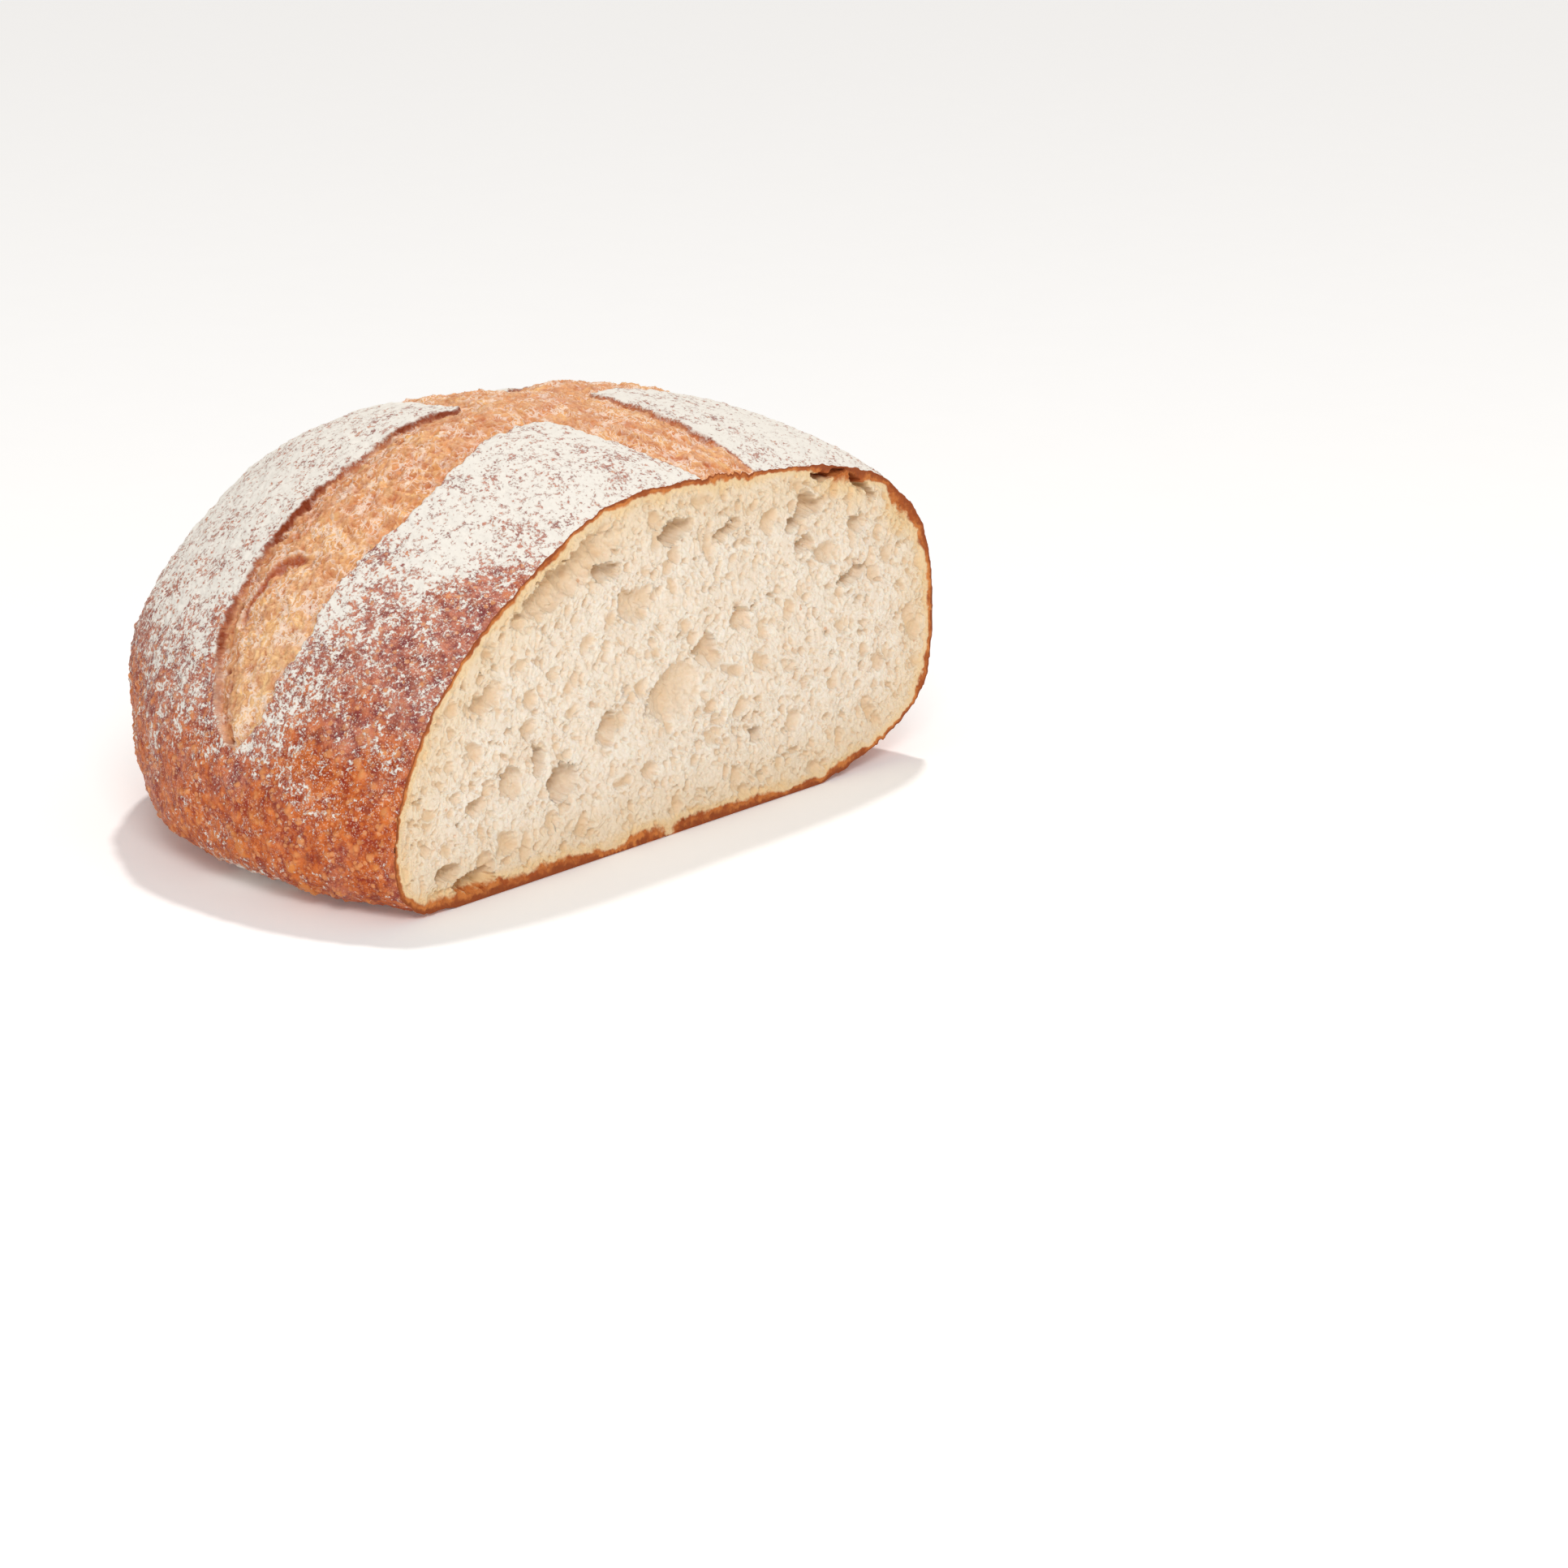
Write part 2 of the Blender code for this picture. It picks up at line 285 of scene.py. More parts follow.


# height of the crust over the plain loaf, with the masks that its colours follow:
# skin rolls and grain, blisters and beads on the lower crust, loose flakes near the foot,
# the opened slashes, and a lip along their far edge with a dark band just below it, partly
# browned edge and partly painted shadow of the lip
def crustRelief(p):
    z = p[..., 2]
    s, k = slashes, skin
    field = slashField(p)
    gap = field["gap"]
    inside = 1.0 - smooth(gap, -s["edge"], 0.15)
    low = 1.0 - smooth(z, 38.0, 80.0)

    lumps = layeredNoise(p, k["lumpSize"], 1, 2) * k["lump"]
    rolls = layeredNoise(p, k["rollSize"], 2, 3) * k["roll"]
    grain = layeredNoise(p, k["grainSize"], 3, 3) * k["grain"]
    bent = p + layeredNoise(p, 4.0, 5)[..., None] * 0.8
    distance, chance = scatterCells(bent, k["blisterCell"], 4)
    smallest, spread = k["blisterRadius"]
    blister = np.sqrt(np.maximum(1.0 - (distance / (smallest + spread * chance)) ** 2, 0.0))
    blister = blister * (chance > k["blisterRare"] - k["blisterRareLow"] * low)
    blister = blister * (0.35 + 0.65 * low) * (1.0 - inside)
    distance, chance = scatterCells(bent, k["beadCell"], 6)
    smallest, spread = k["beadRadius"]
    bead = np.sqrt(np.maximum(1.0 - (distance / (smallest + spread * chance)) ** 2, 0.0))
    bead = bead * (chance > k["beadRare"])
    bead = bead * (0.3 + 0.7 * low) * (1.0 - inside)
    distance, chance = scatterCells(p + 2.2 * layeredNoise(p, 5.0, 6)[..., None], k["flakeCell"], 7)
    flakeZone = (1.0 - smooth(z, 14.0, 36.0)) * smooth(z, 1.0, 5.0) * (1.0 - smooth(p[..., 1], 40.0, 80.0))
    flake = smooth(k["flakeRadius"] - distance, 0.0, 0.07) * (chance > k["flakeRare"])
    flake = flake * flakeZone * (1.0 - inside)
    band, masks = openedRelief(p, field, inside)

    lipSide = np.where(field["farSide"], 1.0, 0.0) * (0.25 + 0.75 * field["isLong"])
    ragged = smooth(latticeNoise(p, 15.0, 15) + 0.25 * latticeNoise(p, 4.0, 25), 0.35, 0.95)
    lipFade = np.where(field["isLong"], 1.0 - smooth(field["along"], 0.80, 1.0), 1.0)
    lipSide = lipSide * lipFade
    lip = np.exp(-((gap - 0.9) / s["lipWidth"]) ** 2) * (gap > -s["edge"]) * lipSide * ragged
    outer = grain + lip * s["lip"] + blister * k["blisterHeight"] + bead * k["beadHeight"]
    outer = outer + flake * k["flakeHeight"]
    height = lumps + rolls * (1.0 - 0.5 * inside) + mix(outer, band, inside)

    pale = smooth(field["turn"], 34.0, 74.0) * field["isLong"]
    pale = inside * pale * (1.0 - 0.85 * smooth(field["across"], -0.3, 0.7))
    masks.update({
        "flour": flourDensity(p) * (1.0 - inside), "slash": inside,
        "blister": np.maximum(blister, 0.7 * bead), "flake": flake,
        "charredAndShadow": np.exp(-((gap + 0.3) / 0.45) ** 2) * lipSide * (0.35 + 1.1 * ragged),
        "rind": inside * smooth(field["across"], 0.15, 0.95) * field["isLong"],
        "film": np.exp(-((gap + 0.1) / 0.5) ** 2) * smooth(field["turn"], 60.0, 72.0),
        "pale": pale,
        "bake": 0.15 + 0.4 * layeredNoise(p, 18.0, 19, 3) + 0.65 * smooth(z, 22.0, 64.0),
        "high": z,
    })
    return height, masks


# evenly spaced rows from the cut to the far end and columns around, coarser under the base
def crustSpacing(rows, columns):
    fine = np.linspace(0.0, 1.0, 2001)
    y = loaf["length"] * np.sin(fine * math.pi / 2.0)
    step = 0.0
    for turn in (0.35, 0.8, 1.3, 1.9, 2.4, 2.9):
        line = loafPoint(np.full_like(y, turn), y)
        step = step + np.linalg.norm(np.diff(line, axis=0), axis=1)
    travel = np.concatenate([[0.0], np.cumsum(step)])
    rowY = np.interp(np.linspace(0.0, travel[-1], rows + 1), travel, y)
    turn = np.linspace(0.0, 2.0 * math.pi, 8001)
    line = loafPoint(turn, np.full_like(turn, 45.0))
    step = np.linalg.norm(np.diff(line, axis=0), axis=1)
    under = (line[1:, 2] < 7.0) & (turn[1:] > math.pi)
    travel = np.concatenate([[0.0], np.cumsum(np.where(under, step * 0.3, step))])
    columnTurn = np.interp(np.arange(columns) * travel[-1] / columns, travel, turn)
    return rowY, columnTurn


# normals of a grid of points from the differences along both of its directions
def gridNormals(points, closed=False):
    if closed:
        across = np.roll(points, -1, 1) - np.roll(points, 1, 1)
    else:
        across = np.gradient(points, axis=1)
    down = np.gradient(points, axis=0)
    normal = np.cross(down, across)
    return normal / np.maximum(np.linalg.norm(normal, axis=2, keepdims=True), 1e-9)


# from mm in the loaf's own axes to metres in the part's frame
def toWorld(points):
    return points * mm + np.array([shiftX, shiftY, 0.0])


# one object from part of a grid: quads between rows and columns, with a fan to a tip if any
def gridPiece(name, points, normals, masks, material, tip=None):
    rows, columns = points.shape[:2]
    index = np.arange(rows * columns).reshape(rows, columns)
    quads = np.stack([index[:-1, :-1], index[1:, :-1], index[1:, 1:], index[:-1, 1:]], -1)
    verts = points.reshape(-1, 3)
    vertNormals = normals.reshape(-1, 3)
    loops = quads.ravel()
    totals = np.full(loops.size // 4, 4)
    if tip is not None:
        fan = np.stack([index[-1, :-1], np.full(columns - 1, len(verts)), index[-1, 1:]], -1)
        verts = np.vstack([verts, tip[0]])
        vertNormals = np.vstack([vertNormals, tip[1]])
        loops = np.concatenate([loops, fan.ravel()])
        totals = np.concatenate([totals, np.full(len(fan), 3)])
    starts = np.concatenate([[0], np.cumsum(totals)[:-1]])
    mesh = bpy.data.meshes.new(name)
    mesh.vertices.add(len(verts))
    mesh.vertices.foreach_set("co", toWorld(verts).ravel().astype(np.float32))
    mesh.loops.add(len(loops))
    mesh.loops.foreach_set("vertex_index", loops.astype(np.int32))
    mesh.polygons.add(len(totals))
    mesh.polygons.foreach_set("loop_start", starts.astype(np.int32))
    mesh.polygons.foreach_set("use_smooth", np.ones(len(totals), dtype=bool))
    mesh.update(calc_edges=True)
    mesh.normals_split_custom_set_from_vertices(vertNormals.astype(np.float32).tolist())
    for key, values in masks.items():
        flat = values.reshape(-1).astype(np.float32)
        if tip is not None:
            flat = np.append(flat, values[-1].mean())
        mesh.attributes.new(key, "FLOAT", "POINT").data.foreach_set("value", flat)
    mesh.materials.append(material)
    piece = bpy.data.objects.new(name, mesh)
    bpy.context.scene.collection.objects.link(piece)
    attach(piece, "root")
    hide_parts("loaf")
    print(name, len(totals), "faces")
    return piece


crust = {"rows": 440, "columns": 1080, "strips": 6}


# crust: the loaf's surface moved along its own normals by the relief, the cut rim kept flat
def makeCrust(material):
    rowY, columnTurn = crustSpacing(crust["rows"], crust["columns"])
    y, turn = np.meshgrid(rowY[:-1], columnTurn, indexing="ij")
    plain = loafPoint(turn, y)
    normal = gridNormals(plain, closed=True)
    normal[..., 1] *= smooth(y, 0.0, 1.5)
    normal /= np.linalg.norm(normal, axis=2, keepdims=True)
    height, masks = crustRelief(plain)
    points = plain + normal * height[..., None]
    points[..., 2] = np.maximum(points[..., 2] - loaf["baseTrim"], 0.0)
    normals = gridNormals(points, closed=True)
    tip = (points[-1].mean(0), np.array([0.0, 1.0, 0.0]))
    bounds = np.linspace(0, crust["columns"], crust["strips"] + 1).astype(int)
    for number, (start, end) in enumerate(zip(bounds[:-1], bounds[1:])):
        take = np.arange(start, end + 1) % crust["columns"]
        part = {key: values[:, take] for key, values in masks.items()}
        gridPiece("crust_%d" % (number + 1), points[:, take], normals[:, take], part, material, tip)
    return columnTurn, points[0]


crumb = {
    "columns": 1000, "rows": 370, "pieces": 4, "endCrowding": 0.85,
    "cells": ((1.0, 0.8, 0.28), (1.9, 0.60, 0.75), (3.6, 0.40, 1.55), (7.5, 0.26, 2.2)),
    "fluff": 0.16, "fuzz": 0.19, "holes": 1.9,
    "rim": 1.5, "rimFoot": 1.4, "rimRight": 1.5,
}

# larger holes: x, z, half width, half height, lean in degrees, depth, in mm
crumbHoles = (
    (-37, 84, 23, 5.0, 25, 2.6), (-24, 82, 5, 3, 10, 3.0), (6, 88, 7, 3.6, 12, 3.6),
    (67, 86, 6.5, 3.0, 20, 3.4), (60, 83, 4, 1.4, 25, 2.2), (66, 75, 5, 2.6, 0, 2.4),
    (88, 63, 9, 2.0, 12, 2.2), (21, 51, 6, 5.0, -30, 2.4), (5, 42, 11, 8.0, 20, 1.8),
    (-23, 37, 3.6, 6.0, -15, 3.0), (-42, 24, 6.5, 5.2, 20, 4.2), (-52, 32, 2.4, 4.4, -10, 2.8),
    (-64, 29, 4.6, 4.6, 0, 2.2), (-78, 25, 4, 3.6, 0, 1.8), (43, 21, 3.4, 2.4, 0, 2.8),
    (-79, 5, 9, 2.4, 4, 3.0), (-90, 10, 5, 2.6, 0, 2.4), (77, 95, 9, 1.3, -8, 2.6),
    (92, 88, 8, 1.6, -32, 3.0), (36, 58, 5, 3, 0, 1.8), (31, 86, 5, 2, 15, 1.8),
    (91, 78, 4, 3, 0, 2.0), (-12, 70, 6, 4, 0, 1.4), (-70, 55, 5, 3, 40, 1.4),
)


# depth of the cut crumb below the knife's plane: bubbles are bowls around scattered centres,
# larger holes are leaning ovals deeper on their upper left, both bent by noise; soft fluff
# lies between them. It also returns where shade is painted into the bubbles and holes
def crumbRelief(x, z, rimGap):
    c = crumb
    p = np.stack([x, 0.0 * x, z], -1)
    bend = np.stack([layeredNoise(p, 5.0, 31), 0.0 * x, layeredNoise(p, 5.0, 32)], -1)
    wide = np.stack([layeredNoise(p, 14.0, 33), 0.0 * x, layeredNoise(p, 14.0, 34)], -1)
    q = p + bend * 0.9 + wide * 2.0
    shag = np.stack([layeredNoise(p, 1.1, 35, 2), 0.0 * x, layeredNoise(p, 1.1, 36, 2)], -1)
    q = q + shag * 0.3
    depth = 0.0 * x
    holeShade = 0.0 * x
    for number, (size, share, deep) in enumerate(c["cells"]):
        distance, chance = scatterCells(q, size, 41 + number, flat=True)
        radius = 0.22 + 0.26 * (chance / share)
        bowl = np.sqrt(np.maximum(1.0 - (distance / radius) ** 2, 0.0)) * (chance < share)
        bowl = bowl * smooth(rimGap, 1.0 + 0.4 * number, 3.0 + 1.3 * number)
        depth = np.maximum(depth, bowl * deep * (0.45 + 0.8 * chance / share))
        holeShade = np.maximum(holeShade, bowl * (0.25 + 0.25 * number))
    ragged = bend * 1.2 + wide * 1.6 + shag * 0.5
    for hx, hz, wideHalf, highHalf, lean, deep in crumbHoles:
        angle = math.radians(lean)
        dx, dz = x + ragged[..., 0] - hx, z + ragged[..., 2] - hz
        u = (dx * math.cos(angle) + dz * math.sin(angle)) / wideHalf
        v = (dz * math.cos(angle) - dx * math.sin(angle)) / highHalf
        bowl = np.maximum(1.0 - u * u - v * v, 0.0) ** 0.4 * (1.0 + 0.45 * (v - u * 0.6))
        depth = np.maximum(depth, bowl * deep * c["holes"] + depth * 0.5 * (bowl > 0.0))
        holeShade = np.maximum(holeShade, bowl)
    fluff = layeredNoise(p, 2.4, 51, 3) * c["fluff"] + layeredNoise(p, 11.0, 52, 2) * 0.4
    fluff = fluff + layeredNoise(p, 0.9, 53, 2) * c["fuzz"]
    edge = smooth(rimGap, 0.2, 1.6)
    return np.maximum((depth + fluff + 0.3) * edge, 0.0), np.clip(holeShade, 0.0, 1.0)


# cut face: straight lines from the rim's top to its underside, pushed in by the crumb's relief
def makeCrumb(columnTurn, rim, material):
    c = crumb
    ringTurn = np.append(columnTurn, 2.0 * math.pi)
    ring = np.vstack([rim, rim[:1]])
    fineTurn = np.linspace(0.0, math.pi, 6001)
    topX = loafPoint(fineTurn, np.zeros_like(fineTurn))[:, 0]
    lowX = loafPoint(2.0 * math.pi - fineTurn, np.zeros_like(fineTurn))[:, 0]
    u = np.linspace(-1.0, 1.0, c["columns"] + 1)
    u = mix(u, np.sin(u * math.pi / 2.0), c["endCrowding"])
    middle, half = (topX[0] + topX[-1]) / 2.0, (topX[0] - topX[-1]) / 2.0
    x = middle + half * u
    topTurn = np.interp(x, topX[::-1], fineTurn[::-1])
    lowTurn = 2.0 * math.pi - np.interp(x, lowX[::-1], fineTurn[::-1])

    def rimAt(turn):
        return np.stack([np.interp(turn, ringTurn, ring[:, axis]) for axis in (0, 2)], -1)

    top, low = rimAt(topTurn), rimAt(lowTurn)
    share = np.linspace(0.0, 1.0, c["rows"] + 1)[:, None, None]
    flat = mix(top[None], low[None], share)
    outline = rimAt(np.linspace(0.0, 2.0 * math.pi, 1400)).astype(np.float32)
    rimGap = np.empty(flat.shape[:2])
    for row, line in enumerate(flat.astype(np.float32)):
        gap = (line[:, None, 0] - outline[None, :, 0]) ** 2 + (line[:, None, 1] - outline[None, :, 1]) ** 2
        rimGap[row] = np.sqrt(gap.min(1))
    depth, holeShade = crumbRelief(flat[..., 0], flat[..., 1], rimGap)
    points = np.stack([flat[..., 0], depth, flat[..., 1]], -1)
    normals = gridNormals(points)
    thick = c["rim"] + c["rimFoot"] * (1.0 - smooth(flat[..., 1], 3.0, 8.0))
    thick = thick + c["rimRight"] * smooth(flat[..., 0], 55.0, 85.0) * smooth(flat[..., 1], 50.0, 72.0)
    at = np.stack([flat[..., 0], 0.0 * rimGap, flat[..., 1]], -1)
    thick = thick * (1.0 + 0.5 * layeredNoise(at, 12.0, 61, 3))
    masks = {"rim": rimGap / thick, "holeShade": holeShade, "inward": rimGap}
    bounds = np.linspace(0, c["columns"], c["pieces"] + 1).astype(int)
    for number, (start, end) in enumerate(zip(bounds[:-1], bounds[1:])):
        part = {key: values[:, start:end + 1] for key, values in masks.items()}
        gridPiece("crumb_%d" % (number + 1), points[:, start:end + 1], normals[:, start:end + 1],
                  part, material)


# screen colour, each part 0..255, as the linear colour that a shader takes
def rgb(red, green, blue):
    def linear(value):
        value = value / 255.0
        return value / 12.92 if value <= 0.04045 else ((value + 0.055) / 1.055) ** 2.4
    return (linear(red), linear(green), linear(blue), 1.0)


# baked skin
skinTones = {
    "amber": rgb(216, 114, 44), "amberDark": rgb(150, 46, 12), "dusky": rgb(206, 126, 98),
    "duskyDark": rgb(128, 54, 54), "burnt": rgb(124, 50, 38), "spot": rgb(236, 162, 104),
    "speck": rgb(246, 226, 208),
}

# opened crust, with a pale tone painted as highlight on the strand crests
slashTones = {
    "golden": rgb(250, 187, 110), "orange": rgb(228, 132, 68), "deep": rgb(198, 92, 38),
    "rind": rgb(184, 86, 42), "pale": rgb(252, 218, 160), "gold": rgb(254, 208, 130),
    "streak": rgb(184, 88, 42), "fine": rgb(172, 76, 36), "fibreAndHighlight": rgb(254, 210, 156),
    "web": rgb(255, 238, 222),
}

# marks and flour on the crust, with painted shade in the tear and the pores, and a dark band under the slash
# lip that is partly browned edge and partly painted shadow
crustTones = {
    "blister": rgb(234, 158, 96), "flake": rgb(234, 152, 76), "tearAndShade": rgb(172, 72, 34),
    "poreAndShade": rgb(150, 60, 26), "tearEdge": rgb(255, 240, 224), "dust": rgb(218, 192, 180),
    "flour": rgb(241, 235, 225), "film": rgb(250, 226, 196), "charredAndShadow": rgb(140, 60, 24),
}

# cut crumb and the crust's edge around it, with painted shade for the holes
crumbTones = {
    "soft": rgb(249, 240, 226), "cream": rgb(243, 227, 207), "fuzz": rgb(230, 206, 174),
    "nearRim": rgb(236, 210, 172), "holeShade": rgb(220, 184, 138), "bran": rgb(216, 150, 96),
    "underCrust": rgb(240, 204, 148), "crust": rgb(212, 130, 66), "crustDark": rgb(168, 84, 38),
    "edge": rgb(152, 76, 36),
}


# small maker for node trees: add a node, set its values and link what comes in
class Nodes:
    def __init__(self, tree):
        self.tree = tree

    def add(self, kind, inputs=None, **settings):
        node = self.tree.nodes.new(kind)
        for key, value in settings.items():
            setattr(node, key, value)
        for key, value in (inputs or {}).items():
            socket = node.inputs[key]
            if isinstance(value, bpy.types.NodeSocket):
                self.tree.links.new(value, socket)
            else:
                socket.default_value = value
        return node

    def math(self, operation, a, b=0.0, clamp=False):
        node = self.add("ShaderNodeMath", {0: a, 1: b}, operation=operation)
        node.use_clamp = clamp
        return node.outputs[0]

    def ramp(self, value, low, high, toLow=0.0, toHigh=1.0):
        node = self.add("ShaderNodeMapRange", {"Value": value, "From Min": low, "From Max": high,
                                               "To Min": toLow, "To Max": toHigh})
        node.interpolation_type = "SMOOTHSTEP"
        return node.outputs["Result"]

    def blend(self, share, a, b):
        node = self.add("ShaderNodeMix", data_type="RGBA")
        for key, value in ((0, share), (6, a), (7, b)):
            if isinstance(value, bpy.types.NodeSocket):
                self.tree.links.new(value, node.inputs[key])
            else:
                node.inputs[key].default_value = value
        return node.outputs[2]

    def noise(self, vector, scale, detail=2.0, rough=0.5, twist=0.0):
        node = self.add("ShaderNodeTexNoise", {"Vector": vector, "Scale": scale, "Detail": detail,
                                               "Roughness": rough, "Distortion": twist})
        return node.outputs["Fac"]

    # round spots on a random share of scattered cells, fading between two distances
    def spots(self, vector, scale, outer, inner, skipped):
        cells = self.add("ShaderNodeTexVoronoi", {"Vector": vector, "Scale": scale, "Randomness": 1.0})
        pick = self.add("ShaderNodeSeparateColor", {"Color": cells.outputs["Color"]}).outputs[0]
        return self.math("MULTIPLY", self.ramp(cells.outputs["Distance"], outer, inner),
                         self.ramp(pick, skipped, skipped + 0.1))

    def mask(self, name):
        return self.add("ShaderNodeAttribute", attribute_name=name).outputs["Fac"]


# empty node group with its sockets, and its input and output nodes
def newGroup(name, inputs, outputs):
    tree = bpy.data.node_groups.new(name, "ShaderNodeTree")
    kinds = {"value": "NodeSocketFloat", "vector": "NodeSocketVector", "color": "NodeSocketColor"}
    for label, kind in inputs:
        tree.interface.new_socket(label, in_out="INPUT", socket_type=kinds[kind])
    for label, kind in outputs:
        tree.interface.new_socket(label, in_out="OUTPUT", socket_type=kinds[kind])
    nodes = Nodes(tree)
    return tree, nodes, nodes.add("NodeGroupInput"), nodes.add("NodeGroupOutput")


# flour cover: a density turned into patches, clumps and single grains
def makeFlourGroup():
    tree, n, given, made = newGroup("flourCover", [("Vector", "vector"), ("Density", "value")],
                                    [("Cover", "value"), ("Dust", "value")])
    at, density = given.outputs["Vector"], given.outputs["Density"]
    patch = n.ramp(n.noise(at, 150.0, 3.0, 0.6), 0.28, 0.72)
    clump = n.ramp(n.noise(at, 470.0, 4.0, 0.65), 0.28, 0.72)
    grain = n.ramp(n.noise(at, 1250.0, 3.0, 0.65), 0.26, 0.74)
    level = n.math("ADD", n.math("MULTIPLY", patch, 0.17), n.math("MULTIPLY", clump, 0.41))
    level = n.math("ADD", level, n.math("MULTIPLY", grain, 0.42))
    over = n.math("SUBTRACT", density, level)
    n.tree.links.new(n.ramp(over, -0.08, 0.12), made.inputs["Cover"])
    n.tree.links.new(n.ramp(n.math("ADD", n.math("MULTIPLY", over, 0.6), density), 0.20, 0.95),
                     made.inputs["Dust"])
    return tree


# baked skin: amber to dusky brown as it bakes, mottled, with lighter spots and flour specks
def makeSkinGroup():
    tree, n, given, made = newGroup("bakedSkin", [("Vector", "vector"), ("Bake", "value"),
                                                  ("Height", "value")], [("Color", "color")])
    at = given.outputs["Vector"]
    mottle = n.ramp(n.noise(at, 240.0, 6.0, 0.74), 0.36, 0.64)
    cloud = n.ramp(n.noise(at, 85.0, 4.0, 0.6), 0.30, 0.70)
    amber = n.blend(mottle, skinTones["amber"], skinTones["amberDark"])
    dusky = n.blend(mottle, skinTones["dusky"], skinTones["duskyDark"])
    share = n.math("ADD", n.math("MULTIPLY", cloud, 0.6), n.math("SUBTRACT", given.outputs["Bake"], 0.3))
    tone = n.blend(n.ramp(share, 0.0, 1.0), amber, dusky)
    dark = n.ramp(n.noise(at, 150.0, 5.0, 0.7), 0.54, 0.66)
    tone = n.blend(n.math("MULTIPLY", dark, 0.62), tone, skinTones["burnt"])
    tone = n.blend(n.math("MULTIPLY", n.spots(at, 480.0, 0.40, 0.28, 0.6), 0.6), tone, skinTones["spot"])
    dusty = n.ramp(n.noise(at, 120.0, 3.0, 0.6), 0.36, 0.60, 0.15, 0.60)
    dusty = n.math("MULTIPLY", dusty, n.ramp(given.outputs["Height"], 6.0, 44.0, 0.28, 1.0))
    specks = n.math("MAXIMUM", n.spots(at, 1050.0, 0.40, 0.22, 0.5), n.spots(at, 1900.0, 0.42, 0.26, 0.4))
    tone = n.blend(n.math("MULTIPLY", specks, dusty), tone, skinTones["speck"])
    n.tree.links.new(tone, made.inputs["Color"])
    return tree


# opened crust: golden to orange brown in streaks along the slash, with painted highlights on the strand
# crests and a pale curled web on it
def makeSlashGroup():
    tree, n, given, made = newGroup("openedCrust", [("Vector", "vector"), ("Run", "value"),
                                                    ("Over", "value"), ("Fibre", "value"),
                                                    ("Pale", "value"), ("Rind", "value")],
                                    [("Color", "color")])
    at = given.outputs["Vector"]
    along = n.add("ShaderNodeCombineXYZ", {0: n.math("MULTIPLY", given.outputs["Run"], 0.00034),
                                           1: n.math("MULTIPLY", given.outputs["Over"], 0.001)})
    curl = n.add("ShaderNodeTexNoise", {"Vector": at, "Scale": 170.0, "Detail": 4.0})
    streakAt = n.add("ShaderNodeVectorMath", {0: curl.outputs["Color"], 1: (0.008, 0.008, 0.008),
                                              2: along.outputs[0]}, operation="MULTIPLY_ADD").outputs[0]
    patch = n.ramp(n.noise(at, 105.0, 4.0, 0.6), 0.32, 0.68)
    streak = n.ramp(n.noise(streakAt, 420.0, 5.0, 0.7), 0.40, 0.64)
    fine = n.ramp(n.noise(streakAt, 1100.0, 3.0, 0.65), 0.38, 0.64)
    tone = n.blend(patch, slashTones["golden"], slashTones["orange"])
    deep = n.ramp(n.noise(at, 62.0, 4.0, 0.6), 0.46, 0.62)
    tone = n.blend(n.math("MULTIPLY", deep, 0.48), tone, slashTones["deep"])
    tone = n.blend(n.math("MULTIPLY", given.outputs["Rind"], 0.55), tone, slashTones["rind"])
    tone = n.blend(n.math("MULTIPLY", given.outputs["Pale"], 0.75), tone, slashTones["pale"])
    gold = n.ramp(n.noise(at, 135.0, 4.0, 0.6), 0.55, 0.66)
    tone = n.blend(n.math("MULTIPLY", gold, 0.6), tone, slashTones["gold"])
    tone = n.blend(n.math("MULTIPLY", streak, 0.82), tone, slashTones["streak"])
    tone = n.blend(n.math("MULTIPLY", fine, 0.5), tone, slashTones["fine"])
    # painted highlight on the crests of the raised strands
    tone = n.blend(n.math("MULTIPLY", given.outputs["Fibre"], 0.55), tone, slashTones["fibreAndHighlight"])
    web = 0.0
    for scale, edge in ((260.0, 0.075), (520.0, 0.10)):
        cells = n.add("ShaderNodeTexVoronoi", {"Vector": streakAt, "Scale": scale},
                      feature="DISTANCE_TO_EDGE")
        web = n.math("MAXIMUM", n.ramp(cells.outputs["Distance"], edge, 0.02), web)
    web = n.math("MULTIPLY", web, n.ramp(n.noise(at, 160.0, 3.0, 0.6), 0.42, 0.60, 0.08, 0.66))
    tone = n.blend(web, tone, slashTones["web"])
    n.tree.links.new(tone, made.inputs["Color"])
    return tree


# material with its shader, a node maker and coordinates fixed to the piece
def newMaterial(name, roughness):
    material = bpy.data.materials.new(name)
    material.use_nodes = True
    n = Nodes(material.node_tree)
    shader = material.node_tree.nodes["Principled BSDF"]
    shader.inputs["Roughness"].default_value = roughness
    at = n.add("ShaderNodeTexCoord").outputs["Object"]
    return material, n, shader, at


# a node group inside a material, its inputs linked by name
def useGroup(n, tree, **inputs):
    node = n.add("ShaderNodeGroup", node_tree=tree)
    for key, value in inputs.items():
        n.tree.links.new(value, node.inputs[key])
    return node.outputs


